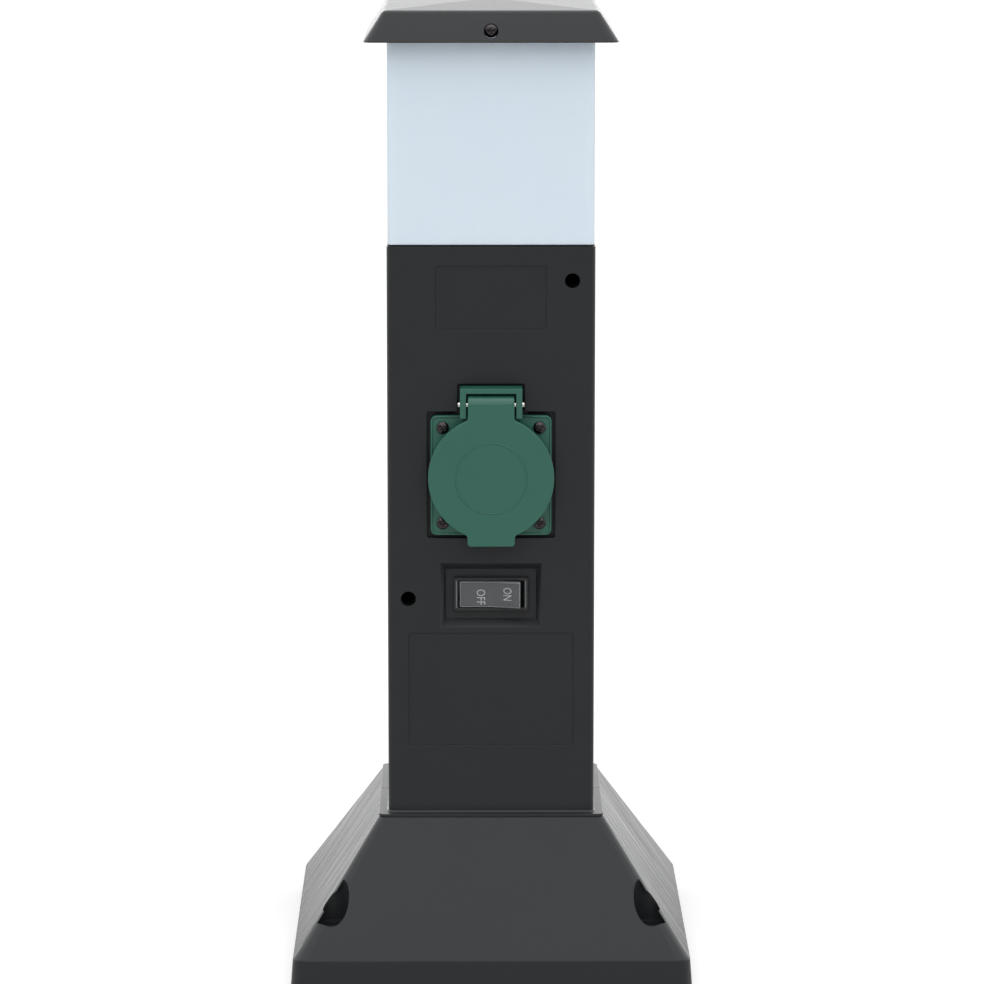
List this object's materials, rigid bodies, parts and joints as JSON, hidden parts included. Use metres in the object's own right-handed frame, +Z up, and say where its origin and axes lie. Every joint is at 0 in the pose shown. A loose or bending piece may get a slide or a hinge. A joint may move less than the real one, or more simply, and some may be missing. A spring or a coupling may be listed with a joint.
{
  "type": "garden power column with light",
  "caption": "Square garden power column with a flared foot, a lidded earthed socket, a rocker switch and an opal light under a cap.",
  "frame": {"origin": "centre of the foot, on the ground", "axes": "+Z up the column, -Y out of the front face that carries the socket, +X to the right seen from the front"},
  "size_m": [0.1662, 0.1662, 0.4032],
  "materials": {
    "anthracite_plastic": "fine matte moulded, charcoal grey",
    "green_plastic": "satin moulded, dark green",
    "opal_plastic": "translucent opal white",
    "black_plastic": "moulded, black",
    "grey_plastic": "satin moulded, grey",
    "clear_boot": "clear soft cover",
    "pale_plastic": "heat-proof moulded, cream",
    "white_plastic": "moulded, white",
    "seal_rubber": "soft black foam or rubber",
    "zinc_steel": "zinc plated",
    "dark_screw": "blackened stainless",
    "pin_steel": "bright stainless",
    "brass_contact": "plain brass",
    "brown_insulation": "smooth lead insulation, brown",
    "blue_insulation": "smooth lead insulation, blue",
    "earth_insulation": "lead insulation, green and yellow",
    "black_insulation": "smooth lead insulation, black"
  },
  "bodies": {
    "housing": {"base_shell": "anthracite_plastic", "gland_body": "black_plastic", "gland_locknut": "black_plastic", "gland_dome_nut": "black_plastic", "gland_seal": "seal_rubber", "foot_screws": "zinc_steel", "column_front": "anthracite_plastic", "column_rear": "anthracite_plastic", "column_screws": "zinc_steel", "shade_seal": "seal_rubber", "opal_shade": "opal_plastic", "cap": "anthracite_plastic", "cap_screws": "dark_screw", "lamp_bracket": "zinc_steel", "bracket_screws": "zinc_steel", "lampholder_body": "pale_plastic", "lampholder_shell": "brass_contact", "lampholder_contact": "brass_contact", "lampholder_screws": "zinc_steel", "lamp_base": "zinc_steel", "lamp_housing": "white_plastic", "lamp_globe": "opal_plastic", "socket_gasket": "seal_rubber", "socket_flange": "green_plastic", "flange_screws": "dark_screw", "socket_insert": "black_plastic", "insert_screw": "zinc_steel", "contact_sleeves": "brass_contact", "earth_bow": "brass_contact", "terminal_screws": "zinc_steel", "lid_pin": "pin_steel", "switch_body": "black_plastic", "switch_terminals": "brass_contact", "spade_connectors": "zinc_steel", "terminal_block": "pale_plastic", "terminal_clamps": "brass_contact", "clamp_screws": "zinc_steel", "block_screws": "zinc_steel", "lead_socket_live": "brown_insulation", "lead_socket_neutral": "blue_insulation", "lead_socket_earth": "earth_insulation", "lead_switch_feed": "brown_insulation", "lead_lamp_live": "black_insulation", "lead_lamp_neutral": "blue_insulation"},
    "lid": {"socket_lid": "green_plastic", "lid_seal": "seal_rubber", "lid_spring": "pin_steel"},
    "rocker": {"switch_rocker": "grey_plastic", "switch_boot": "clear_boot", "switch_plunger": "white_plastic", "plunger_spring": "pin_steel"},
    "blade": {"contact_blade": "brass_contact"},
    "shutter": {"socket_shutter": "white_plastic"}
  },
  "joints": [
    {"name": "lid_hinge", "type": "hinge", "parent": "housing", "child": "lid", "pos_m": [0, -0.0486, 0.2392], "axis": [-1, 0, 0], "range_deg": [0, 100], "stiffness_Nm_per_rad": 0.015, "springref_deg": -45.84},
    {"name": "rocker_tilt", "type": "hinge", "parent": "housing", "child": "rocker", "pos_m": [0, -0.038, 0.1583], "axis": [0, 0, 1], "range_deg": [0, 16]},
    {"name": "blade_tilt", "type": "hinge", "parent": "housing", "child": "blade", "pos_m": [0, -0.0286, 0.1583], "axis": [0, 0, 1], "range_deg": [-9.6, 0]},
    {"name": "shutter_turn", "type": "hinge", "parent": "housing", "child": "shutter", "pos_m": [0, -0.028, 0.209], "axis": [0, -1, 0], "range_deg": [0, 40], "stiffness_Nm_per_rad": 0.002, "springref_deg": -28.65}
  ],
  "couplings": [
    {"joint": "blade_tilt", "follows": "rocker_tilt", "ratio": -0.6}
  ]
}
